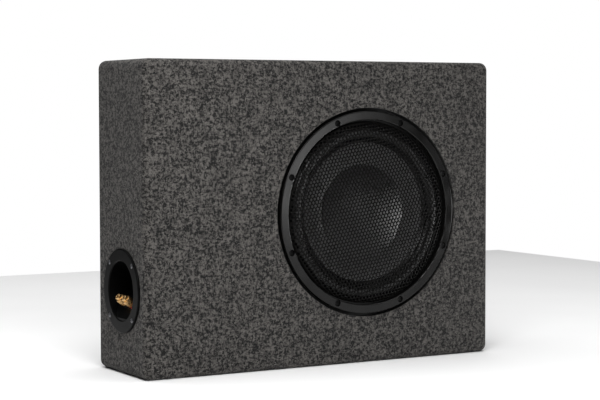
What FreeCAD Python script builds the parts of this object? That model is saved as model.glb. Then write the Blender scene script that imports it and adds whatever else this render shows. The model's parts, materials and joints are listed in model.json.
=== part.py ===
import FreeCAD, Part
import math
import os
import re

import Sketcher

# A carpeted, sealed car subwoofer: a shallow wooden box with a 10 inch driver in its front
# baffle and a round terminal cup in its left side. Millimetres, +Z up. The origin is the middle
# of the base, +X is right as seen from the front, and the driver faces -Y.
# Driver pieces are drawn as (radius, depth) outlines; depth is measured from the carpet's
# front face into the box. Binding post pieces are drawn as (radius, height) outlines; height
# is measured from the cup's slanted panel outwards, along the post.

SIZES = {
    # the carpeted box
    "box_width": 524,
    "box_depth": 146,
    "box_height": 402,
    "carpet": 3,
    "panel": 16,
    "baffle": 18,
    "corner_round": 11,
    "rim_round": 8,
    # screws that hold the panels together
    "panel_screw_radius": 2,
    "panel_screw_head": 3,
    "panel_screw_length": 38,
    # the driver's seat in the baffle
    "driver_across": 65.5,
    "driver_up": 201,
    "rebate_radius": 139.3,
    "rebate_depth": 8,
    "cutout_radius": 121.5,
    # trim ring and grille
    "ring_outer": 135,
    "ring_inner": 123.5,
    "ring_proud": 2,
    "ring_edge": 1.2,
    "mesh_flat": 112,
    "mesh_rim": 121.5,
    "mesh_thick": 1.2,
    "mesh_crown": 2.2,
    "mesh_shoulder": 0.8,
    "mesh_curve": 0.35,
    "mesh_bow": 1.4,
    # driver screws
    "screw_circle": 128.5,
    "screw_count": 8,
    "screw_first": 22.5,
    "screw_radius": 2.5,
    "screw_head": 3.9,
    "screw_head_top": -0.4,
    "screw_seat": 3,
    "screw_end": 20.5,
    "screw_hole": 4.3,
    "screw_slack": 2.7,
    # basket
    "flange_outer": 134,
    "flange_front": 5,
    "flange_back": 9,
    "step_radius": 118.8,
    "land_front": 10,
    "land_inner": 110,
    "land_back": 13,
    "tub_outer": 121,
    "wall_inner": 116,
    "shelf_outer": 79,
    "shelf_wall": 76,
    "shelf_inner": 62,
    "shelf_front": 47,
    "shelf_back": 50,
    "seat_outer": 68,
    "seat_wall": 65.5,
    "seat_hole": 31,
    "seat_front": 62,
    "seat_back": 65,
    "window_count": 6,
    "window_angle": 38,
    "window_front": 17,
    "window_back": 43,
    # surround, cone and dust cap
    "surround_outer": 118.4,
    "roll_outer": 114.5,
    "roll_inner": 97.5,
    "roll_height": 6,
    "lip_inner": 93,
    "rubber": 1,
    "cone_rim": 98,
    "cone_front": 12,
    "cone_neck": 25,
    "cone_flare": 2.4,
    "paper": 1.5,
    "cap_radius": 62.5,
    "cap_edge": 14.2,
    "cap_dome": 7.2,
    "cap_bow": 1.8,
    "cap_thick": 1,
    # voice coil and spider
    "former_radius": 25.4,
    "former_thick": 0.4,
    "former_front": 24,
    "former_back": 81,
    "coil_thick": 1.8,
    "coil_front": 59,
    "coil_back": 79,
    "spider_outer": 74,
    "spider_flat": 61.5,
    "spider_collar": 30,
    "spider_waves": 4,
    "spider_wave": 1.5,
    "spider_thick": 0.8,
    # magnet system
    "plate_outer": 66,
    "plate_back": 73,
    "gap_outer": 27.8,
    "magnet_outer": 70,
    "magnet_inner": 36,
    "magnet_back": 93,
    "yoke_outer": 62,
    "yoke_back": 101,
    "pole_radius": 24.5,
    "pole_front": 66,
    "vent_radius": 8,
    "rivet_circle": 50,
    "rivet_radius": 2.2,
    "rivet_head": 4,
    "rivet_front": 60.5,
    "rivet_back": 71,
    # driver terminals
    "tag_board_width": 26,
    "tag_board_height": 22,
    "tag_board_thick": 2.5,
    "tag_width": 6.3,
    "tag_thick": 0.8,
    "tag_start": -4.5,
    "tag_end": 10.5,
    "tag_spacing": 16,
    "spade_start": 4,
    "spade_end": 16,
    "spade_width": 8,
    "spade_thick": 3,
    # terminal cup
    "cup_along": -5.3,
    "cup_up": 107.6,
    "cup_flange": 54,
    "cup_proud": 3,
    "cup_edge": 1.5,
    "cup_bevel": 1.2,
    "cup_opening": 38,
    "cup_wall": 3,
    "cup_clearance": 1,
    "cup_depth": 66,
    "cup_tilt": 37,
    "cup_screw_circle": 48.5,
    "cup_screw_radius": 1.6,
    "cup_screw_head": 3.1,
    "cup_screw_dome": 1,
    "cup_screw_length": 15,
    # binding posts
    "post_depth": 14,
    "post_drop": 18,
    "post_aside": -9.5,
    "post_spacing": 19.05,
    "stud_radius": 3,
    "stud_top": 16.7,
    "stud_end": -10,
    "socket_radius": 2,
    "socket_floor": 1,
    "wire_hole": 1.1,
    "wire_hole_up": 5.6,
    "bush_radius": 5.5,
    "bush_top": 3,
    "washer_radius": 5.6,
    "washer_top": 4.2,
    "running_gap": 0.05,
    "knob_radius": 5.9,
    "knob_bevel": 0.5,
    "knob_top": 13.7,
    "neck_radius": 4,
    "neck_top": 17.7,
    "knurl_count": 24,
    "knurl_radius": 0.7,
    "nut_across": 8,
    "nut_thick": 3,
    "lug_radius": 4.8,
    "lug_width": 4,
    "lug_reach": 13,
    "lug_thick": 0.6,
    # leads
    "lead_radius": 1.5,
    "tinsel_radius": 0.6,
    "solder_gap": 0.5,
}

X, Y, Z = FreeCAD.Vector(1, 0, 0), FreeCAD.Vector(0, 1, 0), FreeCAD.Vector(0, 0, 1)
SHAFT_ALONG_Y = FreeCAD.Rotation(X, -90)
SHAFT_ALONG_X = FreeCAD.Rotation(Y, 90)
CUP_TURN = FreeCAD.Rotation(Z, -90)
QUARTER_ROUND = "(1 - sqrt(0.5))"

doc = FreeCAD.newDocument("CarSubwoofer")
sheet = doc.addObject("Spreadsheet::Sheet", "Sizes")
for row, (word, number) in enumerate(SIZES.items(), start=1):
    sheet.set(f"A{row}", word)
    sheet.set(f"B{row}", str(number))
    sheet.setAlias(f"B{row}", word)
doc.recompute()


def formula(text):
    """The text as an expression on the sheet, where each plain word is an alias."""
    return re.sub(r"\b[a-z][a-z_0-9]*\b(?!\()", lambda word: "Sizes." + word.group(), str(text))


def size(text):
    """The value of a formula, in millimetres or degrees."""
    return float(sheet.evalExpression(formula(text)))


def bind(thing, **formulas):
    """Ties properties of a document object to the sheet."""
    for name, text in formulas.items():
        thing.setExpression(name, formula(text))


def put(thing, corner, turn=None):
    """Turns an object and ties its place to the sheet."""
    thing.Placement = FreeCAD.Placement(FreeCAD.Vector(), turn or FreeCAD.Rotation())
    for axis, text in zip("xyz", corner):
        thing.setExpression(f".Placement.Base.{axis}", formula(text))
    return thing


# ---------------------------------------------------------------- sketches and simple solids

def bowed_edge(start, end, bow):
    """A counter-clockwise arc between two points that bows to the left of start-to-end."""
    half = start.distanceToPoint(end) / 2
    radius = (half ** 2 + bow ** 2) / (2 * abs(bow))
    left = FreeCAD.Vector(start.y - end.y, end.x - start.x, 0).normalize()
    centre = (start + end) * 0.5 + left * (bow - math.copysign(radius, bow))
    first, last = (end, start) if bow > 0 else (start, end)
    low, high = (math.atan2(spot.y - centre.y, spot.x - centre.x) for spot in (first, last))
    if high < low:
        high += 2 * math.pi
    return Part.ArcOfCircle(Part.Circle(centre, Z, radius), low, high)


def draw(sketch, points):
    """A closed outline through (across, up) formulas. A third formula on a point bows the edge
    that leaves it to its left by that much. Every corner and bow is tied to the sheet."""
    corners = [FreeCAD.Vector(size(point[0]), size(point[1]), 0) for point in points]
    ends = []
    for number, point in enumerate(points):
        start, end = corners[number], corners[(number + 1) % len(corners)]
        if len(point) == 2:
            sketch.addGeometry(Part.LineSegment(start, end))
            ends.append((1, 2))
            continue
        bow = size(point[2])
        sketch.addGeometry(bowed_edge(start, end, bow))
        ends.append((2, 1) if bow > 0 else (1, 2))
    for number, point in enumerate(points):
        following = (number + 1) % len(points)
        sketch.addConstraint(Sketcher.Constraint(
            "Coincident", number, ends[number][1], following, ends[following][0]))
        for kind, text, place in (
                ("DistanceX", point[0], corners[number].x), ("DistanceY", point[1], corners[number].y)):
            limit = sketch.addConstraint(
                Sketcher.Constraint(kind, -1, 1, number, ends[number][0], place))
            sketch.setExpression(f"Constraints[{limit}]", formula(text))
        if len(point) == 3:
            across = f"(({points[following][0]}) - ({point[0]}))"
            up = f"(({points[following][1]}) - ({point[1]}))"
            bow = f"abs({point[2]})"
            limit = sketch.addConstraint(
                Sketcher.Constraint("Radius", number, sketch.Geometry[number].Radius))
            sketch.setExpression(f"Constraints[{limit}]", formula(
                f"({across} * {across} + {up} * {up}) / (8 * {bow}) + {bow} / 2"))
    return sketch


def outline(body, plane, points):
    """A closed sketch on one of a body's own origin planes."""
    sketch = body.newObject("Sketcher::SketchObject", body.Name + "_outline")
    support = next(item for item in body.Origin.OriginFeatures if item.Role == plane)
    sketch.AttachmentSupport = (support, [""])
    sketch.MapMode = "FlatFace"
    return draw(sketch, points)


def lathe(name, foot, points, turn=None):
    """A body turned about its own Y axis from a (radius, along) outline."""
    body = doc.addObject("PartDesign::Body", name)
    sketch = outline(body, "XY_Plane", points)
    turned = body.newObject("PartDesign::Revolution", name + "_turned")
    turned.Profile = sketch
    turned.ReferenceAxis = (sketch, ["V_Axis"])
    turned.Angle = 360
    return put(body, foot, turn)


def block(name, corner, extent):
    """A box from its lowest corner and its size."""
    box = doc.addObject("Part::Box", name)
    bind(box, Length=extent[0], Width=extent[1], Height=extent[2])
    return put(box, corner)


def rod(name, foot, radius, length, turn):
    """A cylinder."""
    solid = doc.addObject("Part::Cylinder", name)
    bind(solid, Radius=radius, Height=length)
    return put(solid, foot, turn)


def boolean(kind, name, base, tools):
    """The base combined with each tool in turn; the last step carries the name."""
    for number, tool in enumerate(tools, start=1):
        step_name = name if number == len(tools) else f"{name}_step_{number}"
        step = doc.addObject(kind, step_name)
        step.Base = base
        step.Tool = tool
        base = step
    return base


def cut(name, base, *tools):
    return boolean("Part::Cut", name, base, tools)


def common(name, base, tool):
    return boolean("Part::Common", name, base, [tool])


def fuse(name, base, *tools):
    return boolean("Part::Fuse", name, base, tools)


def feature(name, shape):
    """A document object that holds a shape made with Part's functions."""
    thing = doc.addObject("Part::Feature", name)
    thing.Shape = shape
    return thing


def copies(piece, places):
    """One compound of separate copies of a shape."""
    solids = []
    for place in places:
        solid = piece.copy()
        solid.Placement = place.multiply(solid.Placement)
        solids.append(solid)
    return Part.makeCompound(solids)


def spun(points):
    """A solid turned about Y from (radius, along) formulas."""
    corners = [FreeCAD.Vector(size(radius), size(along), 0) for radius, along in points]
    face = Part.Face(Part.makePolygon(corners + corners[:1]))
    return face.revolve(FreeCAD.Vector(), Y, 360)


def cross_recess(shape, head, top, deep):
    """A screw with a cross cut into its head, which faces -Y."""
    long_side, short_side = 1.3 * head, 0.3 * head
    for across, high in ((long_side, short_side), (short_side, long_side)):
        corner = FreeCAD.Vector(-across / 2, top - deep, -high / 2)
        shape = shape.cut(Part.makeBox(across, 2 * deep, high, corner))
    return shape


def moved(x, y, z, turn=None):
    return FreeCAD.Placement(FreeCAD.Vector(x, y, z), turn or FreeCAD.Rotation())


# ------------------------------------------------------------------------------ the enclosure

def rounded_block(name, inset):
    """The box's outer form, brought in by inset on every side."""
    body = doc.addObject("PartDesign::Body", name)
    side = f"(box_width / 2 - {inset})"
    low, high = inset, f"(box_height - {inset})"
    sketch = outline(body, "XZ_Plane", [
        (f"-{side}", low), (side, low), (side, high), (f"-{side}", high)])
    pad = body.newObject("PartDesign::Pad", name + "_pad")
    pad.Profile = sketch
    pad.SideType = "Symmetric"
    bind(pad, Length=f"box_depth - 2 * {inset}")
    doc.recompute()
    solid = pad
    for radius, lies_flat in (("corner_round", False), ("rim_round", True)):
        edges = [f"Edge{number}" for number, edge in enumerate(solid.Shape.Edges, start=1)
                 if (edge.BoundBox.YLength < 1e-3) == lies_flat]
        rounded = body.newObject("PartDesign::Fillet", f"{name}_{radius}")
        rounded.Base = (solid, edges)
        bind(rounded, Radius=f"{radius} - {inset}")
        doc.recompute()
        solid = rounded
    return body


def slab(name, form, corner, extent):
    """The part of a form that lies inside a box."""
    return common(name, form, block(name + "_room", corner, extent))


def panel_screws():
    """Countersunk screws through the baffle and the back into the edges of the four sides."""
    screw = spun([
        (0, 0), ("panel_screw_head", 0), ("panel_screw_radius", "panel_screw_head - panel_screw_radius"),
        ("panel_screw_radius", "panel_screw_length - 3"), (0, "panel_screw_length")])
    half_width = size("box_width / 2 - carpet - panel / 2")
    low, high = size("carpet + panel / 2"), size("box_height - carpet - panel / 2")
    places = [(half_width * part, level) for level in (low, high) for part in (-0.9, -0.3, 0.3, 0.9)]
    places += [(side * half_width, low + (high - low) * part)
               for side in (-1, 1) for part in (0.5, 0.8)]
    wood_face = size("box_depth / 2 - carpet")
    front = [moved(x, -wood_face, z) for x, z in places]
    back = [moved(x, wood_face, z, FreeCAD.Rotation(X, 180)) for x, z in places]
    return feature("panel_screws", copies(screw, front + back))


def enclosure(screws, driver_screws, cup_screws):
    """Six wooden panels and the carpet glued over them."""
    outer = rounded_block("carpet_form", "0")
    wood = rounded_block("wood_form", "carpet")
    left, right = "-box_width / 2 + carpet", "box_width / 2 - carpet"
    front, back = "-box_depth / 2 + carpet", "box_depth / 2 - carpet"
    wood_width, wood_height = "box_width - 2 * carpet", "box_height - 2 * carpet"
    inner_depth = "box_depth - 2 * carpet - baffle - panel"
    inner_front = "-box_depth / 2 + carpet + baffle"
    side_height = "box_height - 2 * carpet - 2 * panel"

    driver_foot = ("driver_across", front, "driver_up")
    rebate = rod("rebate", driver_foot, "rebate_radius", "rebate_depth", SHAFT_ALONG_Y)
    opening = rod("driver_opening", driver_foot, "cutout_radius", "baffle", SHAFT_ALONG_Y)
    cup_hole = rod("cup_hole", (left, "cup_along", "cup_up"),
                   "cup_opening + cup_wall + cup_clearance", "panel", SHAFT_ALONG_X)

    baffle = slab("baffle_blank", wood, (left, front, "carpet"), (wood_width, "baffle", wood_height))
    rear = slab("back_blank", wood, (left, f"{back} - panel", "carpet"),
                (wood_width, "panel", wood_height))
    lid = slab("top_blank", wood, (left, inner_front, "box_height - carpet - panel"),
               (wood_width, inner_depth, "panel"))
    base = slab("bottom_blank", wood, (left, inner_front, "carpet"),
                (wood_width, inner_depth, "panel"))
    near = slab("left_blank", wood, (left, inner_front, "carpet + panel"),
                ("panel", inner_depth, side_height))
    far = slab("right_blank", wood, (f"{right} - panel", inner_front, "carpet + panel"),
               ("panel", inner_depth, side_height))

    shell = cut("carpet_shell", outer, wood)
    upper = slab("carpet_upper", shell, ("-box_width / 2", "-box_depth / 2", "carpet"),
                 ("box_width", "box_depth - carpet", "box_height - carpet"))
    carpet_window = rod("carpet_window", ("driver_across", "-box_depth / 2", "driver_up"),
                        "rebate_radius", "carpet", SHAFT_ALONG_Y)
    cup_window = rod("cup_window", ("-box_width / 2", "cup_along", "cup_up"),
                     "cup_opening + cup_wall + cup_clearance", "carpet", SHAFT_ALONG_X)
    return [
        cut("front_baffle", baffle, rebate, opening, screws, driver_screws),
        cut("back_panel", rear, screws),
        cut("top_panel", lid, screws),
        cut("bottom_panel", base, screws),
        cut("left_panel", near, cup_hole, screws, cup_screws),
        cut("right_panel", far, screws),
        cut("carpet_wrap", upper, carpet_window, cup_window, cup_screws),
        slab("carpet_back", outer, ("-box_width / 2", back, "carpet"),
             ("box_width", "carpet", "box_height - carpet")),
        slab("carpet_base", outer, ("-box_width / 2", "-box_depth / 2", 0),
             ("box_width", "box_depth", "carpet")),
    ]


# --------------------------------------------------------------------------------- the driver

DRIVER = ("driver_across", "-box_depth / 2", "driver_up")


def around_driver(piece, radius, count, first, turn_with_it=False):
    """Copies of a shape drawn about Y, spaced evenly round the driver's axis."""
    centre = moved(size(DRIVER[0]), size(DRIVER[1]), size(DRIVER[2]))
    places = []
    for number in range(int(size(count))):
        turn = FreeCAD.Rotation(Y, -size(first) - 360 * number / size(count))
        spot = turn.multVec(FreeCAD.Vector(size(radius), 0, 0))
        places.append(centre.multiply(moved(*spot, turn if turn_with_it else None)))
    return copies(piece, places)


def driver_screws():
    """Eight pan-head screws through ring, flange and gasket into the baffle."""
    screw = spun([
        (0, "screw_head_top"), ("screw_head - 0.8", "screw_head_top"), ("screw_head", "screw_head_top + 0.8"),
        ("screw_head", "screw_seat"), ("screw_radius", "screw_seat"),
        ("screw_radius", "screw_end - 2"), (0, "screw_end")])
    screw = cross_recess(screw, size("screw_head"), size("screw_head_top"), 1.2)
    return feature("driver_screws", around_driver(screw, "screw_circle", "screw_count", "screw_first"))


def screw_clearance():
    """What the driver screws pass through: a head room and a slack hole."""
    room = spun([
        (0, "-ring_proud - 1"), ("screw_hole", "-ring_proud - 1"), ("screw_hole", "screw_seat"),
        ("screw_slack", "screw_seat"), ("screw_slack", "carpet + rebate_depth"),
        (0, "carpet + rebate_depth")])
    return feature("screw_clearance",
                   around_driver(room, "screw_circle", "screw_count", "screw_first"))


def trim_ring(clearance):
    blank = lathe("ring_blank", DRIVER, [
        ("ring_inner", "flange_front"),
        ("ring_inner", "ring_edge - ring_proud", f"-ring_edge * {QUARTER_ROUND}"),
        ("ring_inner + ring_edge", "-ring_proud"),
        ("ring_outer - ring_edge", "-ring_proud", f"-ring_edge * {QUARTER_ROUND}"),
        ("ring_outer", "ring_edge - ring_proud"),
        ("ring_outer", "flange_front")])
    return cut("trim_ring", blank, clearance)


def grille_mesh():
    """A shallow dished disc whose rim turns back onto the flange."""
    return lathe("grille_mesh", DRIVER, [
        (0, "-mesh_crown", "-mesh_curve"),
        ("mesh_flat", "-mesh_shoulder", "-mesh_bow"),
        ("mesh_rim", "flange_front"),
        ("mesh_rim - mesh_thick", "flange_front", "mesh_bow"),
        ("mesh_flat", "mesh_thick - mesh_shoulder", "mesh_curve"),
        (0, "mesh_thick - mesh_crown")])


def driver_gasket(clearance):
    blank = lathe("gasket_blank", DRIVER, [
        ("cutout_radius", "flange_back"), ("flange_outer", "flange_back"),
        ("flange_outer", "carpet + rebate_depth"), ("cutout_radius", "carpet + rebate_depth")])
    return cut("driver_gasket", blank, clearance)


def window_cutter():
    """A wedge that opens the basket's wall between two spokes."""
    half = math.radians(size("window_angle / 2"))
    low, high = size("shelf_wall - 2"), size("tub_outer + 5")
    corners = [FreeCAD.Vector(radius * math.cos(angle), size("window_front"), radius * math.sin(angle))
               for radius, angle in ((low, -half), (high, -half), (high, half), (low, half))]
    face = Part.Face(Part.makePolygon(corners + corners[:1]))
    return face.extrude(Y * size("window_back - window_front"))


def basket(clearance, rivets, tags):
    """The stamped frame: flange, surround land, spoked wall, spider shelf and motor seat."""
    blank = lathe("basket_blank", DRIVER, [
        ("step_radius", "flange_front"), ("flange_outer", "flange_front"),
        ("flange_outer", "flange_back"), ("tub_outer", "flange_back"), ("tub_outer", "land_back"),
        ("shelf_outer", "shelf_back"), ("seat_outer", "shelf_back + 4"), ("seat_outer", "seat_back"),
        ("seat_hole", "seat_back"), ("seat_hole", "seat_front"), ("seat_wall", "seat_front"),
        ("seat_wall", "shelf_back"), ("shelf_inner", "shelf_back"), ("shelf_inner", "shelf_front"),
        ("shelf_wall", "shelf_front"), ("wall_inner", "land_back"), ("land_inner", "land_back"),
        ("land_inner", "land_front"), ("step_radius", "land_front")])
    windows = feature("basket_windows", around_driver(
        window_cutter(), "0", "window_count", "180 / window_count", turn_with_it=True))
    return cut("basket", blank, windows, clearance, rivets, tags)


def surround():
    """A half-roll of rubber from the basket's land to the cone's rim."""
    return lathe("surround", DRIVER, [
        ("lip_inner", "cone_front"), ("lip_inner", "cone_front - rubber"),
        ("roll_inner", "cone_front - rubber", "-roll_height"),
        ("roll_outer", "land_front - rubber"),
        ("surround_outer", "land_front - rubber"), ("surround_outer", "land_front"),
        ("roll_outer - 0.6", "land_front", "roll_height"),
        ("roll_inner + 0.6", "cone_front")])


def cone():
    return lathe("cone", DRIVER, [
        ("former_radius", "cone_neck", "-cone_flare"), ("lip_inner", "cone_front"),
        ("cone_rim", "cone_front"), ("cone_rim", "cone_front + paper"),
        ("lip_inner", "cone_front + paper", "cone_flare"), ("former_radius", "cone_neck + paper")])


def dust_cap():
    return lathe("dust_cap", DRIVER, [
        ("cap_radius", "cap_edge", "cap_bow"), (0, "cap_edge - cap_dome"),
        (0, "cap_edge - cap_dome + cap_thick", "-cap_bow"), ("cap_radius", "cap_edge + cap_thick")])


def plain_ring(name, inner, outer, front, back):
    """A ring about the driver's axis with a rectangular section."""
    return lathe(name, DRIVER, [(inner, front), (outer, front), (outer, back), (inner, back)])


def spider():
    """A corrugated cloth disc from the former to the basket's shelf."""
    count = int(size("spider_waves"))
    wave = f"((spider_flat - spider_collar) / {2 * count})"
    bows = ("-spider_wave", "spider_wave")
    near = [(f"spider_collar + {wave} * {step}", "shelf_front - spider_thick", bows[step % 2])
            for step in range(2 * count)]
    far = [(f"spider_collar + {wave} * {step}", "shelf_front", bows[step % 2])
           for step in range(2 * count, 0, -1)]
    return lathe("spider", DRIVER, [
        ("former_radius", "shelf_front"), ("former_radius", "shelf_front - spider_thick"), *near,
        ("spider_flat", "shelf_front - spider_thick"),
        ("spider_outer", "shelf_front - spider_thick"), ("spider_outer", "shelf_front"), *far,
        ("spider_collar", "shelf_front")])


def plate_rivets():
    """Four rivets that hold the basket to the top plate."""
    rivet = spun([
        (0, "rivet_front"), ("rivet_head", "rivet_front"), ("rivet_head", "seat_front"),
        ("rivet_radius", "seat_front"), ("rivet_radius", "rivet_back"), (0, "rivet_back")])
    return feature("plate_rivets", around_driver(rivet, "rivet_circle", "4", "45"))


def t_yoke():
    return lathe("t_yoke", DRIVER, [
        ("vent_radius", "pole_front"), ("pole_radius", "pole_front"), ("pole_radius", "magnet_back"),
        ("yoke_outer", "magnet_back"), ("yoke_outer", "yoke_back"), ("vent_radius", "yoke_back")])


def wall_frame():
    """The place on the basket's left spoke: x along Z, y up the slope, z out of the wall."""
    run = size("tub_outer - shelf_outer")
    rise = size("shelf_back - land_back")
    length = math.hypot(run, rise)
    outward = FreeCAD.Vector(-rise / length, run / length, 0)
    radius, depth = size("(tub_outer + shelf_outer) / 2"), size("(land_back + shelf_back) / 2")
    foot = FreeCAD.Vector(size("driver_across") - radius, size("-box_depth / 2") + depth,
                          size("driver_up"))
    turn = FreeCAD.Rotation(Z, outward.cross(Z), outward, "ZXY")
    return FreeCAD.Placement(foot, turn)


def on_wall(across, thick, low, high, centre=0.0):
    """A box that stands out of the basket's wall, from one height to another."""
    return Part.makeBox(across, thick, high - low, FreeCAD.Vector(centre - across / 2, -thick / 2, low))


def driver_terminals():
    """A tag board on the basket, two tags, and the spade connectors pushed onto them."""
    frame = wall_frame()
    centres = [size("tag_spacing / 2") * side for side in (-1, 1)]
    tags = [on_wall(size("tag_width"), size("tag_thick"), size("tag_start"), size("tag_end"), centre)
            for centre in centres]
    board = on_wall(size("tag_board_width"), size("tag_board_height"), 0, size("tag_board_thick"))
    board = board.cut(tags[0]).cut(tags[1])
    spades = [on_wall(size("spade_width"), size("spade_thick"), size("spade_start"), size("spade_end"),
                      centre).cut(tag) for centre, tag in zip(centres, tags)]
    pieces = []
    for name, shape in (("tag_board", board), ("driver_tags", Part.makeCompound(tags)),
                        ("spade_connectors", Part.makeCompound(spades))):
        shape.Placement = frame
        pieces.append(feature(name, shape))
    return pieces


# --------------------------------------------------------------- terminal cup, binding posts

CUP = ("-box_width / 2 - cup_proud", "cup_along", "cup_up")


def cup_screws():
    """Four small pan-head screws round the cup's flange."""
    head = ("cup_screw_head", "cup_screw_radius", "cup_screw_dome")
    screw = spun([
        (0, f"-{head[2]}"), (f"{head[0]} - 1", f"-{head[2]}"), (head[0], 0), (head[0], "0.6"),
        (head[1], "0.6"), (head[1], "cup_screw_length - 2"), (0, "cup_screw_length")])
    screw = cross_recess(screw, size("cup_screw_head"), -size("cup_screw_dome"), 0.9)
    reach = size("cup_screw_circle")
    centre = moved(*(size(text) for text in CUP), CUP_TURN)
    places = [centre.multiply(moved(reach * math.cos(angle), 0, reach * math.sin(angle)))
              for angle in (math.radians(45 + 90 * quarter) for quarter in range(4))]
    return feature("cup_screws", copies(screw, places))


def before_slant(name, beyond):
    """Everything in front of the slanted panel's face, moved into the box by beyond."""
    body = doc.addObject("PartDesign::Body", name)
    reach = "(cup_flange + 10)"
    slope = "tan(cup_tilt * 1deg)"
    depth = f"post_depth + {beyond} / cos(cup_tilt * 1deg)"
    ahead = "-cup_depth"
    sketch = outline(body, "YZ_Plane", [
        (ahead, f"-{reach}"), (f"{depth} + ({reach} * -1 + post_drop) * {slope}", f"-{reach}"),
        (f"{depth} + ({reach} + post_drop) * {slope}", reach), (ahead, reach)])
    pad = body.newObject("PartDesign::Pad", name + "_pad")
    pad.Profile = sketch
    pad.SideType = "Symmetric"
    bind(pad, Length="2 * cup_flange")
    return put(body, CUP, CUP_TURN)


def terminal_cup(screws, studs):
    """A round flange, and a tub closed by a slanted panel that carries the posts."""
    flange = lathe("cup_flange_ring", CUP, [
        ("cup_opening", "cup_bevel"), ("cup_opening + cup_bevel", 0),
        ("cup_flange - cup_edge", 0, f"-cup_edge * {QUARTER_ROUND}"), ("cup_flange", "cup_edge"),
        ("cup_flange", "cup_proud"), ("cup_opening", "cup_proud")], CUP_TURN)
    outer = common("tub_outer_form",
                   rod("tub_outer_rod", (f"{CUP[0]} + cup_bevel", CUP[1], CUP[2]),
                       "cup_opening + cup_wall", "cup_depth - cup_bevel", SHAFT_ALONG_X),
                   before_slant("tub_outer_slant", "cup_wall"))
    inner = common("tub_inner_form",
                   rod("tub_inner_rod", (f"{CUP[0]} - 1", CUP[1], CUP[2]),
                       "cup_opening", "cup_depth", SHAFT_ALONG_X),
                   before_slant("tub_inner_slant", "0"))
    whole = fuse("cup_whole", flange, outer)
    return cut("terminal_cup", whole, inner, screws, *studs)


def post_frame(number):
    """A binding post's foot on the slanted panel: Y out along the post, Z up the panel."""
    turn = FreeCAD.Rotation(Y, size("cup_tilt")).multiply(FreeCAD.Rotation(Z, 90))
    foot = (f"{CUP[0]} + post_depth", f"{CUP[1]} + post_aside + {number} * post_spacing",
            f"{CUP[2]} - post_drop")
    return foot, turn


def at_post(shape, number):
    """A shape drawn on a post's own axes, brought to that post."""
    foot, turn = post_frame(number)
    shape.Placement = moved(*(size(text) for text in foot), turn).multiply(shape.Placement)
    return shape


def post_stud(name, number):
    """The threaded stud, with a banana socket in its end and a wire hole across it."""
    foot, turn = post_frame(number)
    blank = lathe(name + "_blank", foot, [
        (0, "stud_end"), ("stud_radius - 0.4", "stud_end"), ("stud_radius", "stud_end + 0.4"),
        ("stud_radius", "stud_top - 0.3"), ("stud_radius - 0.3", "stud_top"),
        ("socket_radius", "stud_top"), ("socket_radius", "socket_floor"), (0, "socket_floor")], turn)
    hole = Part.makeCylinder(size("wire_hole"), size("3 * stud_radius"),
                             FreeCAD.Vector(size("-1.5 * stud_radius"), size("wire_hole_up"), 0), X)
    return cut(name, blank, feature(name + "_wire_hole", at_post(hole, number)))


def post_ring(name, number, inner, radius, low, high):
    foot, turn = post_frame(number)
    return lathe(name, foot, [(inner, low), (radius, low), (radius, high), (inner, high)], turn)


def post_knob(name, number):
    """A knurled nut with a narrow neck, threaded on the stud."""
    foot, turn = post_frame(number)
    bore = "stud_radius + running_gap"
    blank = lathe(name + "_blank", foot, [
        (bore, "washer_top"), ("knob_radius - knob_bevel", "washer_top"),
        ("knob_radius", "washer_top + knob_bevel"), ("knob_radius", "knob_top - knob_bevel"),
        ("knob_radius - knob_bevel", "knob_top"), ("neck_radius", "knob_top"),
        ("neck_radius", "neck_top - 0.4"), ("neck_radius - 0.4", "neck_top"),
        ("socket_radius + 0.3", "neck_top"), ("socket_radius", "neck_top - 0.3"),
        ("socket_radius", "stud_top + 0.2"), (bore, "stud_top + 0.2")], turn)
    groove = Part.makeCylinder(size("knurl_radius"), size("knob_top"), FreeCAD.Vector(), Y)
    count = int(size("knurl_count"))
    reach = size("knob_radius + 0.55 * knurl_radius")
    angles = [2 * math.pi * step / count for step in range(count)]
    grooves = copies(groove, [moved(reach * math.cos(angle), size("washer_top + 1.6"),
                                    reach * math.sin(angle)) for angle in angles])
    ridges = feature(name + "_grooves", at_post(grooves, number))
    return cut(name, blank, ridges)


def rear_hardware():
    """Under each post, inside the box: a solder lug and the nut that clamps it."""
    lug_top = -size("cup_wall")
    lug_thick, nut_thick = size("lug_thick"), size("nut_thick")
    stud = Part.makeCylinder(size("stud_radius"), 2 * abs(size("stud_end")),
                             FreeCAD.Vector(0, 1.5 * size("stud_end"), 0), Y)
    eye = Part.makeCylinder(size("lug_radius"), lug_thick, FreeCAD.Vector(0, lug_top - lug_thick, 0), Y)
    tail = Part.makeBox(size("lug_width"), lug_thick, size("lug_reach"),
                        FreeCAD.Vector(-size("lug_width") / 2, lug_top - lug_thick, 0))
    lug = eye.fuse(tail).cut(stud)
    corner = size("nut_across") / math.sqrt(3)
    corners = [FreeCAD.Vector(corner * math.cos(math.pi / 3 * step), lug_top - lug_thick,
                              corner * math.sin(math.pi / 3 * step)) for step in range(6)]
    hexagon = Part.Face(Part.makePolygon(corners + corners[:1]))
    nut = hexagon.extrude(Y * -nut_thick).cut(stud)
    return [feature(name, Part.makeCompound([at_post(shape.copy(), number) for number in (0, 1)]))
            for name, shape in (("solder_lugs", lug), ("post_nuts", nut))]


# ---------------------------------------------------------------------------------- the wires

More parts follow.
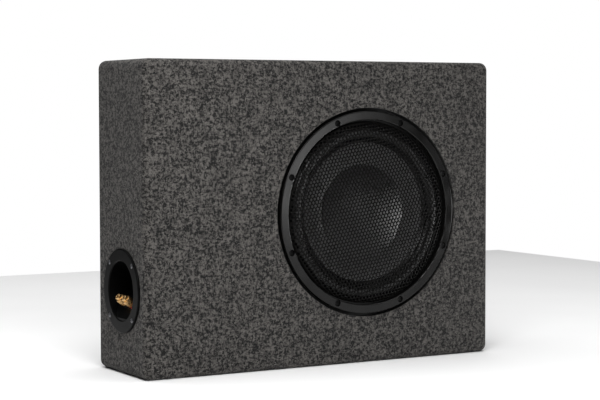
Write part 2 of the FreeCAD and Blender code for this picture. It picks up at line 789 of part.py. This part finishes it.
def tube(points, radius):
    """A round wire along straight runs joined by the largest arcs that the runs allow."""
    edges, radii, start = [], [], points[0]
    for before, corner, after in zip(points, points[1:], points[2:]):
        inward, outward = corner - before, after - corner
        half_turn = inward.getAngle(outward) / 2
        reach = 0.45 * min(inward.Length, outward.Length)
        radii.append(reach / math.tan(half_turn))
        arc_start = corner - inward * (reach / inward.Length)
        arc_end = corner + outward * (reach / outward.Length)
        toward = (arc_start + arc_end) * 0.5 - corner
        to_centre = radii[-1] / math.cos(half_turn)
        middle = corner + toward * ((to_centre - radii[-1]) / toward.Length)
        edges.append(Part.LineSegment(start, arc_start).toShape())
        edges.append(Part.Arc(arc_start, middle, arc_end).toShape())
        start = arc_end
    edges.append(Part.LineSegment(start, points[-1]).toShape())
    path = Part.Wire(edges)
    section = Part.Wire(Part.makeCircle(radius, points[0], points[1] - points[0]))
    solid = path.makePipeShell([section], True, False)
    expected = math.pi * radius ** 2 * path.Length
    print(f"wire: length {path.Length:.1f}, radii {[round(r, 1) for r in radii]},"
          f" volume / expected {solid.Volume / expected:.4f}")
    return solid


def internal_lead(name, number, slack):
    """A lead from a post's solder lug to the driver's spade connector."""
    lug_back = -size("cup_wall + lug_thick")
    foot, turn = post_frame(number)
    post = moved(*(size(text) for text in foot), turn)
    start = post.multVec(FreeCAD.Vector(0, lug_back, size("lug_reach - 3")))
    into_box = turn.multVec(Y) * -1
    frame = wall_frame()
    side = (-1, 1)[number]
    end = frame.multVec(FreeCAD.Vector(side * size("tag_spacing / 2"), 0, size("spade_end")))
    off_tag = frame.Rotation.multVec(Z)
    between = [FreeCAD.Vector(-196, start.y + 6, start.z - 20 - slack),
               FreeCAD.Vector(-158, start.y + 14, start.z - 6 - slack),
               FreeCAD.Vector(-124, start.y + 20, start.z + 24),
               FreeCAD.Vector(-98, start.y + 18, start.z + 62)]
    return feature(name, tube(
        [start, start + into_box * 25, *between, end + off_tag * 27, end], size("lead_radius")))


def tinsel_leads():
    """The two braided wires that feed the moving coil."""
    solids = []
    route = [(size("former_radius"), 36.5, 4), (42, 38, 5.5), (60, 33, 7), (80, 27, 8)]
    frame = wall_frame()
    for side in (-1, 1):
        corners = [FreeCAD.Vector(size(DRIVER[0]) - radius, size(DRIVER[1]) + depth,
                                  size(DRIVER[2]) + side * aside) for radius, depth, aside in route]
        tag_foot = FreeCAD.Vector(side * size("tag_spacing / 2"), 0, size("tag_start - solder_gap"))
        solids.append(tube([*corners, frame.multVec(tag_foot)], size("tinsel_radius")))
    return feature("tinsel_leads", Part.makeCompound(solids))


# --------------------------------------------------------------------------------- everything

def driver_parts(screws):
    clearance = screw_clearance()
    rivets = plate_rivets()
    board, tags, spades = driver_terminals()
    top_blank = plain_ring("top_plate_blank", "gap_outer", "plate_outer", "seat_back", "plate_back")
    return [
        screws,
        trim_ring(clearance),
        grille_mesh(),
        driver_gasket(clearance),
        basket(clearance, rivets, tags),
        surround(),
        cone(),
        dust_cap(),
        plain_ring("voice_coil_former", "former_radius - former_thick", "former_radius",
                   "former_front", "former_back"),
        plain_ring("voice_coil", "former_radius", "former_radius + coil_thick",
                   "coil_front", "coil_back"),
        spider(),
        cut("top_plate", top_blank, rivets),
        plain_ring("magnet", "magnet_inner", "magnet_outer", "plate_back", "magnet_back"),
        t_yoke(),
        rivets,
        board,
        tags,
        spades,
        tinsel_leads(),
    ]


def post_parts():
    parts = []
    for number, pole in enumerate(("positive", "negative")):
        slack_bore = "stud_radius + running_gap"
        parts += [
            post_stud(f"stud_{pole}", number),
            post_ring(f"bush_{pole}", number, "stud_radius", "bush_radius", 0, "bush_top"),
            post_ring(f"washer_{pole}", number, slack_bore, "washer_radius", "bush_top", "washer_top"),
            post_knob(f"knob_{pole}", number),
        ]
    return parts


def write_steps(nodes):
    """Checks every object and every node's shape, then writes one STEP file per node."""
    for thing in doc.Objects:
        if {"Invalid", "Error"} & set(thing.State):
            raise RuntimeError(f"{thing.Label} is {thing.State}")
    for node in nodes:
        if node.Shape.isNull() or not node.Shape.isValid() or not node.Shape.Solids:
            raise RuntimeError(f"{node.Label} has no valid solid")
    os.makedirs("parts", exist_ok=True)
    for node in nodes:
        node.Shape.exportStep(f"parts/{node.Label}.step")
        print(f"{node.Label}: {len(node.Shape.Solids)} solids, {node.Shape.Volume / 1000:.2f} cm3")
    print(f"{len(nodes)} nodes")


wood_screws = panel_screws()
flange_screws = driver_screws()
lid_screws = cup_screws()
posts = post_parts()
studs = [post for post in posts if post.Label.startswith("stud_")]
doc.recompute()
all_nodes = [
    wood_screws,
    *enclosure(wood_screws, flange_screws, lid_screws),
    *driver_parts(flange_screws),
    terminal_cup(lid_screws, studs),
    lid_screws,
    *posts,
    *rear_hardware(),
    internal_lead("lead_positive", 0, 0),
    internal_lead("lead_negative", 1, 6),
]
doc.recompute()
write_steps(all_nodes)
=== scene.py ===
import bpy
import functools
import json
import math
from mathutils import Matrix, Vector


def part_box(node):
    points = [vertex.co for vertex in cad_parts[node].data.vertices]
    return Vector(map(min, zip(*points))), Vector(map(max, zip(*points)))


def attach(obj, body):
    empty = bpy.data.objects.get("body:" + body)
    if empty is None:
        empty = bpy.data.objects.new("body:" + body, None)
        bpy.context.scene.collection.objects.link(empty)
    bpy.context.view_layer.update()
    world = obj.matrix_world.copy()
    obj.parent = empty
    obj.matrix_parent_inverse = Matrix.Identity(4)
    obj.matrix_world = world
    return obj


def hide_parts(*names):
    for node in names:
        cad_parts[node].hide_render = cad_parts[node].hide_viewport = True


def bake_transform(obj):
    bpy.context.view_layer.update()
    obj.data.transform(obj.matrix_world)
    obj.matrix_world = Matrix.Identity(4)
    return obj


# The looks of a carpeted car subwoofer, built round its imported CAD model. Metres, same frame:
# +X right as seen from the front, the driver faces -Y, +Z up, the box stands on z = 0.

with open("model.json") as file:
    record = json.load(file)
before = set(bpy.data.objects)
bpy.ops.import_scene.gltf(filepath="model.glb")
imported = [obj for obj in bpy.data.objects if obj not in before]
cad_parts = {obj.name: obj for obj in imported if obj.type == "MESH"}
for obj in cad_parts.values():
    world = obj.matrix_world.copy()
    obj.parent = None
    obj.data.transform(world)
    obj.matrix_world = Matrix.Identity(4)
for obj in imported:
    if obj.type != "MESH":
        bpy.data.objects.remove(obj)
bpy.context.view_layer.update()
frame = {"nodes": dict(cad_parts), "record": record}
NODES = frame["nodes"]
MM = 0.001


@functools.cache
def corners(node):
    """The lowest and highest corner of a CAD node."""
    low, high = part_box(node)
    return Vector(low), Vector(high)


def middle(node):
    low, high = corners(node)
    return (low + high) / 2


def half_size(node):
    low, high = corners(node)
    return (high - low) / 2


DRIVER = middle("trim_ring")
RING_RADIUS = half_size("trim_ring").x


# ------------------------------------------------------------------------------------ materials

class Recipe:
    """A procedural material: pattern nodes in object space feed one Principled shader."""

    def __init__(self, name, roughness=0.5, **sockets):
        self.material = bpy.data.materials.new(name)
        self.material.use_nodes = True
        self.tree = self.material.node_tree
        self.shader = self.tree.nodes["Principled BSDF"]
        self.place = self.add("ShaderNodeTexCoord").outputs["Object"]
        self.shader.inputs["Roughness"].default_value = roughness
        for socket, value in sockets.items():
            self.shader.inputs[socket.replace("_", " ")].default_value = value

    def add(self, kind, **inputs):
        node = self.tree.nodes.new(kind)
        for name, value in inputs.items():
            socket = node.inputs[name.replace("_", " ")]
            if isinstance(value, bpy.types.NodeSocket):
                self.tree.links.new(value, socket)
            else:
                socket.default_value = value
        return node

    def noise(self, scale, detail=3.0, roughness=0.55, distortion=0.0, stretch=(1, 1, 1)):
        """Noise with features about 1 / scale metres across."""
        place = self.add("ShaderNodeMapping", Vector=self.place, Scale=stretch).outputs[0]
        return self.add("ShaderNodeTexNoise", Vector=place, Scale=scale, Detail=detail,
                        Roughness=roughness, Distortion=distortion).outputs["Fac"]

    def remap(self, value, low, high, to_low=0.0, to_high=1.0):
        node = self.add("ShaderNodeMapRange", Value=value, From_Min=low, From_Max=high,
                        To_Min=to_low, To_Max=to_high)
        return node.outputs[0]

    def blend(self, factor, first, second, mode="MIX"):
        """Two colours or patterns mixed by a factor."""
        node = self.tree.nodes.new("ShaderNodeMix")
        node.data_type = "RGBA"
        node.blend_type = mode
        for index, value in ((0, factor), (6, first), (7, second)):
            socket = node.inputs[index]
            if isinstance(value, bpy.types.NodeSocket):
                self.tree.links.new(value, socket)
            elif index == 0:
                socket.default_value = value
            else:
                socket.default_value = (*value, 1.0) if len(value) == 3 else value
        return node.outputs[2]

    def colour(self, socket):
        self.tree.links.new(socket, self.shader.inputs["Base Color"])

    def bump(self, height, distance, strength=1.0):
        node = self.add("ShaderNodeBump", Height=height, Distance=distance, Strength=strength)
        self.tree.links.new(node.outputs[0], self.shader.inputs["Normal"])

    def rough(self, socket):
        self.tree.links.new(socket, self.shader.inputs["Roughness"])


def grey(level, warmth=0.0):
    """A linear grey with a little warmth: more red, less blue."""
    return (level * (1 + warmth), level, level * (1 - warmth))


def carpet_material():
    """Needle-punched felt: light and dark fibres matted together, with a few pale flecks."""
    recipe = Recipe("carpet_felt", roughness=0.95, Specular_IOR_Level=0.3, Sheen_Weight=0.04,
                    Sheen_Roughness=0.6)
    matted = recipe.noise(270, detail=3, roughness=0.65, distortion=0.8, stretch=(1.0, 0.7, 1.0))
    across = recipe.noise(400, detail=2, distortion=0.6, stretch=(0.4, 0.7, 1.0))
    upward = recipe.noise(400, detail=2, distortion=0.6, stretch=(1.0, 0.7, 0.4))
    patches = recipe.noise(60, detail=3)
    tangle = recipe.blend(0.5, matted, recipe.blend(0.5, across, upward))
    felt = recipe.blend(recipe.remap(tangle, 0.45, 0.57), grey(0.003, 0.07), grey(0.085, 0.07))
    cloudy = recipe.remap(patches, 0.3, 0.7, 0.85, 1.15)
    felt = recipe.blend(1.0, felt, cloudy, "MULTIPLY")
    flecks = recipe.remap(recipe.noise(640, detail=1), 0.68, 0.76)
    recipe.colour(recipe.blend(flecks, felt, grey(0.15, 0.05)))
    recipe.bump(tangle, 0.7 * MM, 0.6)
    return recipe.material


def moulded(name, colour, roughness, grain=0.03, scale=900, gloss=0.5):
    """Moulded plastic or paint: a fine leathery grain, and gloss that varies a little."""
    recipe = Recipe(name, roughness=roughness, Specular_IOR_Level=gloss)
    fine = recipe.noise(scale, detail=4)
    broad = recipe.noise(scale / 30, detail=2)
    shade = recipe.remap(broad, 0.3, 0.7, 0.9, 1.1)
    recipe.colour(recipe.blend(1.0, colour, shade, "MULTIPLY"))
    recipe.rough(recipe.remap(broad, 0.25, 0.75, roughness - 0.05, roughness + 0.05))
    recipe.bump(fine, grain * MM)
    return recipe.material


def plated(name, colour, roughness, scratch=(1, 1, 1)):
    """Plated metal with faint drawn lines and slight tarnish."""
    recipe = Recipe(name, roughness=roughness, Metallic=1.0)
    lines = recipe.noise(2500, detail=2, stretch=scratch)
    tarnish = recipe.noise(350, detail=3)
    dull = tuple(channel * 0.72 for channel in colour)
    recipe.colour(recipe.blend(recipe.remap(tarnish, 0.45, 0.75), colour, dull))
    recipe.rough(recipe.remap(tarnish, 0.3, 0.7, roughness - 0.06, roughness + 0.1))
    recipe.bump(lines, 0.01 * MM)
    return recipe.material


def board_material():
    """Raw MDF, pale brown with fine dark fibres; near black where the driver is let in, partly the
    dark cut edge of the rebate and partly painted shade in the gap round the ring.
    """
    recipe = Recipe("mdf_board", roughness=0.85)
    fibre = recipe.noise(600, detail=5, roughness=0.7)
    raw = recipe.blend(recipe.remap(fibre, 0.35, 0.65), (0.30, 0.19, 0.10), (0.47, 0.33, 0.20))
    flatten = Vector((1, 0, 1))
    across = recipe.add("ShaderNodeVectorMath", Vector=recipe.place)
    across.operation = "MULTIPLY"
    across.inputs[1].default_value = flatten
    away = recipe.add("ShaderNodeVectorMath", Vector=across.outputs[0])
    away.operation = "DISTANCE"
    away.inputs[1].default_value = DRIVER * flatten
    # Inside the rebate the board turns near black: partly the dark cut edge, partly painted shade
    # for the gap round the ring.
    outside_painted_shade = recipe.remap(away.outputs["Value"], 1.05 * RING_RADIUS, 1.06 * RING_RADIUS)
    recipe.colour(recipe.blend(outside_painted_shade, grey(0.003), raw))
    recipe.bump(fibre, 0.1 * MM)
    return recipe.material


def paper_material():
    """Coated cone paper: near black, with pulp fibres that catch the light."""
    recipe = Recipe("cone_paper", roughness=0.36, Specular_IOR_Level=0.9)
    pulp = recipe.noise(420, detail=5, roughness=0.65)
    recipe.colour(recipe.blend(recipe.remap(pulp, 0.35, 0.65), grey(0.001, 0.02), grey(0.003, 0.04)))
    recipe.bump(pulp, 0.03 * MM)
    return recipe.material


def cloth_material(name, colour):
    """Woven cloth stiffened with resin."""
    recipe = Recipe(name, roughness=0.7)
    warp = recipe.noise(1400, detail=1, stretch=(1, 1, 0.2))
    weft = recipe.noise(1400, detail=1, stretch=(0.2, 1, 1))
    weave = recipe.blend(0.5, warp, weft)
    dark = tuple(channel * 0.6 for channel in colour)
    recipe.colour(recipe.blend(recipe.remap(weave, 0.4, 0.6), dark, colour))
    recipe.bump(weave, 0.2 * MM)
    return recipe.material


SLOT_MATERIALS = {
    "carpet": carpet_material(),
    "mdf": board_material(),
    "zinc_steel": plated("zinc_plate", (0.16, 0.16, 0.17), 0.38),
    "black_steel": moulded("black_paint", grey(0.0015), 0.5, gloss=0.12),
    "ring_plastic": moulded("ring_satin", grey(0.004, 0.04), 0.18, grain=0.003, gloss=0.25),
    "grille_steel": moulded("grille_powder_coat", grey(0.005, 0.04), 0.22, grain=0.005, gloss=0.035),
    "foam_rubber": moulded("foam", grey(0.02), 0.9, grain=0.3, scale=1500),
    "rubber": moulded("surround_rubber", grey(0.002), 0.3, grain=0.01),
    "cone_paper": paper_material(),
    "former_aluminium": plated("former_foil", (0.70, 0.70, 0.72), 0.3),
    "copper_wire": plated("enamelled_copper", (0.72, 0.30, 0.13), 0.3, scratch=(1, 12, 1)),
    "spider_cloth": cloth_material("spider_cloth", (0.40, 0.27, 0.08)),
    "ferrite": moulded("ferrite", grey(0.06), 0.55, grain=0.08),
    "tinned_brass": plated("tinned_brass", (0.78, 0.74, 0.62), 0.3),
    "gold_brass": plated("gold_plate", (0.78, 0.50, 0.22), 0.3),
    "cup_plastic": moulded("cup_plastic", grey(0.002), 0.38, grain=0.02, scale=700, gloss=0.05),
    "red_plastic": moulded("red_nylon", (0.42, 0.010, 0.012), 0.3, grain=0.01),
    "black_plastic": moulded("black_nylon", grey(0.010), 0.3, grain=0.01),
    "red_wire": moulded("red_insulation", (0.40, 0.02, 0.02), 0.45),
    "black_wire": moulded("black_insulation", grey(0.012), 0.45),
}
SLOT_OF = {part["node"]: part["material_slot"] for part in frame["record"]["subparts"]}


def dress(piece, node):
    """Gives a piece the finish of a CAD node."""
    piece.data.materials.clear()
    piece.data.materials.append(SLOT_MATERIALS[SLOT_OF[node]])


def dress_cad_nodes():
    for name, node in NODES.items():
        dress(node, name)


# ------------------------------------------------------------------------------ mesh helpers

def make_piece(name, points, faces, body, *stands_for):
    """A smooth mesh piece that rides on a body and stands for CAD nodes."""
    mesh = bpy.data.meshes.new(name)
    mesh.from_pydata(points, [], faces)
    mesh.validate()
    mesh.shade_smooth()
    piece = bpy.data.objects.new(name, mesh)
    bpy.context.scene.collection.objects.link(piece)
    dress(piece, stands_for[0])
    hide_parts(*stands_for)
    if body:
        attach(piece, body)
    return piece


# ------------------------------------------------------------------------------------- grille

def grille_profile():
    """(distance along the sheet, radius, height over the rim) from the middle to the rim: a
    slightly domed face, then a shoulder that turns back to meet the ring."""
    rim, depth = half_size("grille_mesh").x, 2 * half_size("grille_mesh").y
    face = 0.922 * rim
    crown = 0.19 * depth
    face_steps, shoulder_steps = 12, 10
    points = [(face * step / face_steps, depth - crown * (step / face_steps) ** 2)
              for step in range(face_steps + 1)]
    for step in range(1, shoulder_steps + 1):
        angle = math.pi / 2 * step / shoulder_steps
        points.append((face + (rim - face) * math.sin(angle), (depth - crown) * math.cos(angle)))
    profile, along = [(0.0, *points[0])], 0.0
    for here, there in zip(points, points[1:]):
        along += math.dist(here, there)
        profile.append((along, *there))
    return profile


def pressed(profile, flat):
    """Where a point of the flat blank ends up once the sheet is pressed to its profile."""
    length = flat.length
    for (start, inner, high), (end, outer, low) in zip(profile, profile[1:]):
        if length <= end:
            break
    share = min(1.0, (length - start) / (end - start))
    radius, height = inner + (outer - inner) * share, high + (low - high) * share
    turn = radius / length if length else 0.0
    centre, back = middle("grille_mesh"), corners("grille_mesh")[1][1]
    return (centre.x + flat.x * turn, back - height, centre.z + flat.y * turn)


def perforated_grille():
    """Sheet steel with a triangular lattice of round holes, one hexagonal cell to a hole. The
    cells nearest the rim have no hole."""
    pitch, hole, thickness = 5.17 * MM, 2.0 * MM, 1.0 * MM
    sides = 12
    lattice = Matrix.Rotation(math.radians(8), 2)
    profile = grille_profile()
    blank = profile[-1][0]
    punched = 0.985 * blank
    spokes = [lattice @ Vector((math.cos(math.pi / 6 * step), math.sin(math.pi / 6 * step)))
              for step in range(sides)]
    reaches = [pitch / 2 if step % 2 == 0 else pitch / math.sqrt(3) for step in range(sides)]
    points, faces, known = [], [], {}

    def corner(flat):
        """The number of a pressed point. Cells share corners that match to 1/50 of the pitch."""
        key = (round(flat.x / pitch * 50), round(flat.y / pitch * 50))
        if key not in known:
            known[key] = len(points)
            points.append(pressed(profile, flat))
        return known[key]

    rows = int(blank / pitch * 1.2) + 2
    for row in range(-rows, rows + 1):
        for column in range(-2 * rows, 2 * rows + 1):
            centre = lattice @ Vector((pitch * (column + row / 2), pitch * row * math.sqrt(3) / 2))
            cell = [centre + spoke * reach for spoke, reach in zip(spokes, reaches)]
            if min(point.length for point in cell) > blank:
                continue
            around = [corner(point) for point in cell]
            if centre.length + hole > punched:
                faces.append(around)
                continue
            inside = [corner(centre + spoke * hole) for spoke in spokes]
            for step in range(sides):
                after = (step + 1) % sides
                faces.append((around[step], around[after], inside[after], inside[step]))
    grille = make_piece("perforated_grille", points, faces, "box", "grille_mesh")
    sheet = grille.modifiers.new("sheet", "SOLIDIFY")
    sheet.thickness = thickness
    sheet.offset = -1.0


# --------------------------------------------------------------- surround, spider, tinsel leads

def spun_skin(name, node, outline, around):
    """A closed skin turned about the driver's axis from (radius, y) points."""
    centre = middle(node)
    points, faces = [], []
    count = len(outline)
    for step in range(around):
        angle = 2 * math.pi * step / around
        for radius, along in outline:
            points.append((centre.x + radius * math.cos(angle), along,
                           centre.z + radius * math.sin(angle)))
    for step in range(around):
        here, there = step * count, (step + 1) % around * count
        for number in range(count):
            after = (number + 1) % count
            faces.append((here + number, here + after, there + after, there + number))
    return make_piece(name, points, faces, None, node)


def stretch_between(piece):
    """Bakes the piece's placing into its mesh."""
    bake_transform(piece)


def rubber_surround():
    """The half-roll surround: an inner lip on the cone, the roll, an outer lip on the basket."""
    low, high = corners("surround")
    outer = half_size("surround").x
    lip_in, roll_in, roll_out = 93 * MM, 97.5 * MM, 114.5 * MM
    inner_y, outer_y = high.y - 1 * MM, high.y - 3 * MM
    rise = low.y - (inner_y + outer_y) / 2
    thickness = 1.0 * MM
    roll_steps, steps_round = 22, 180
    front = [(lip_in, inner_y)]
    for step in range(roll_steps + 1):
        angle = math.pi * step / roll_steps
        share = (1 - math.cos(angle)) / 2
        base = inner_y + (outer_y - inner_y) * share
        front.append((roll_in + (roll_out - roll_in) * share, base + rise * math.sin(angle)))
    front.append((outer, outer_y))
    back = [(radius, along + thickness) for radius, along in reversed(front)]
    piece = spun_skin("rubber_surround", "surround", front + back, steps_round)
    stretch_between(piece)


def stretching_copy(node):
    """A copy of a CAD node's own mesh, in the node's place."""
    piece = bpy.data.objects.new("stretching_" + node, NODES[node].data.copy())
    bpy.context.scene.collection.objects.link(piece)
    dress(piece, node)
    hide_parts(node)
    stretch_between(piece)


# --------------------------------------------------------------------------- camera and light

def add_camera():
    """A long lens, low and to the left of the box."""
    data = bpy.data.cameras.new("camera")
    data.sensor_width = 36
    data.lens = 101.385
    camera = bpy.data.objects.new("camera", data)
    bpy.context.scene.collection.objects.link(camera)
    yaw, pitch, roll = (math.radians(angle) for angle in (-29.8865, -3.0708, 0.0956))
    camera.matrix_world = (
        Matrix.Translation((-1.13435, -1.97728, 0.33825))
        @ Matrix.Rotation(yaw, 4, "Z")
        @ Matrix.Rotation(math.pi / 2 + pitch, 4, "X")
        @ Matrix.Rotation(-roll, 4, "Z"))
    bpy.context.scene.camera = camera


def add_softbox(name, place, target, size, watts, only_gloss=False):
    """A rectangular light. With only_gloss it is a card that shows in reflections alone."""
    data = bpy.data.lights.new(name, "AREA")
    data.shape = "RECTANGLE"
    data.size, data.size_y = size
    data.energy = watts
    light = bpy.data.objects.new(name, data)
    light.location = place
    light.rotation_euler = (Vector(target) - Vector(place)).to_track_quat("-Z", "Y").to_euler()
    light.visible_camera = False
    light.visible_diffuse = not only_gloss
    bpy.context.scene.collection.objects.link(light)


def add_card(name, direction, distance, size, radiance):
    """A bright card that the driver reflects, in a direction as seen from it."""
    place = DRIVER + Vector(direction).normalized() * distance
    watts = radiance * math.pi * size[0] * size[1]
    add_softbox(name, place, DRIVER, size, watts, only_gloss=True)


def add_world():
    """A dim studio in front of a white backdrop."""
    world = bpy.data.worlds.new("studio")
    world.use_nodes = True
    bpy.context.scene.world = world
    tree = world.node_tree
    dim = tree.nodes["Background"]
    dim.inputs["Color"].default_value = (1, 1, 1, 1)
    dim.inputs["Strength"].default_value = 0.05
    backdrop = tree.nodes.new("ShaderNodeBackground")
    backdrop.inputs["Color"].default_value = (1, 1, 1, 1)
    path = tree.nodes.new("ShaderNodeLightPath")
    choose = tree.nodes.new("ShaderNodeMixShader")
    tree.links.new(path.outputs["Is Camera Ray"], choose.inputs[0])
    tree.links.new(dim.outputs[0], choose.inputs[1])
    tree.links.new(backdrop.outputs[0], choose.inputs[2])
    tree.links.new(choose.outputs[0], tree.nodes["World Output"].inputs["Surface"])


def add_floor():
    """A table top of white, slightly uneven paper."""
    reach = 1.3
    mesh = bpy.data.meshes.new("floor")
    square = [(-reach, -reach, 0), (reach, -reach, 0), (reach, reach, 0), (-reach, reach, 0)]
    mesh.from_pydata(square, [], [(0, 1, 2, 3)])
    floor = bpy.data.objects.new("floor", mesh)
    bpy.context.scene.collection.objects.link(floor)
    recipe = Recipe("paper_floor", roughness=0.9)
    recipe.colour(recipe.remap(recipe.noise(3, detail=2), 0.3, 0.7, 0.94, 0.97))
    mesh.materials.append(recipe.material)


def add_lights():
    """Soft light from the front and overhead, and two cards to put gloss on the driver."""
    add_softbox("front_softbox", (-0.45, -0.75, 0.7), (-0.2, 0, 0.2), size=(0.4, 0.4), watts=6.3)
    add_card("ring_card", (0.42, -0.905, 0.018), distance=2.4, size=(0.50, 0.46), radiance=5.0)
    add_card("cone_card", (0.87, -0.46, -0.20), distance=0.75, size=(0.28, 0.30), radiance=18.0)
    add_softbox("overhead_softbox", (0, 0.2, 2.2), (0, 0.2, 0), size=(3.2, 3.2), watts=74)


# ---------------------------------------------------------------------------------- the scene

add_camera()
add_world()
add_floor()
add_lights()
bpy.context.scene.view_settings.view_transform = "Standard"

dress_cad_nodes()
perforated_grille()
rubber_surround()
stretching_copy("spider")
stretching_copy("tinsel_leads")
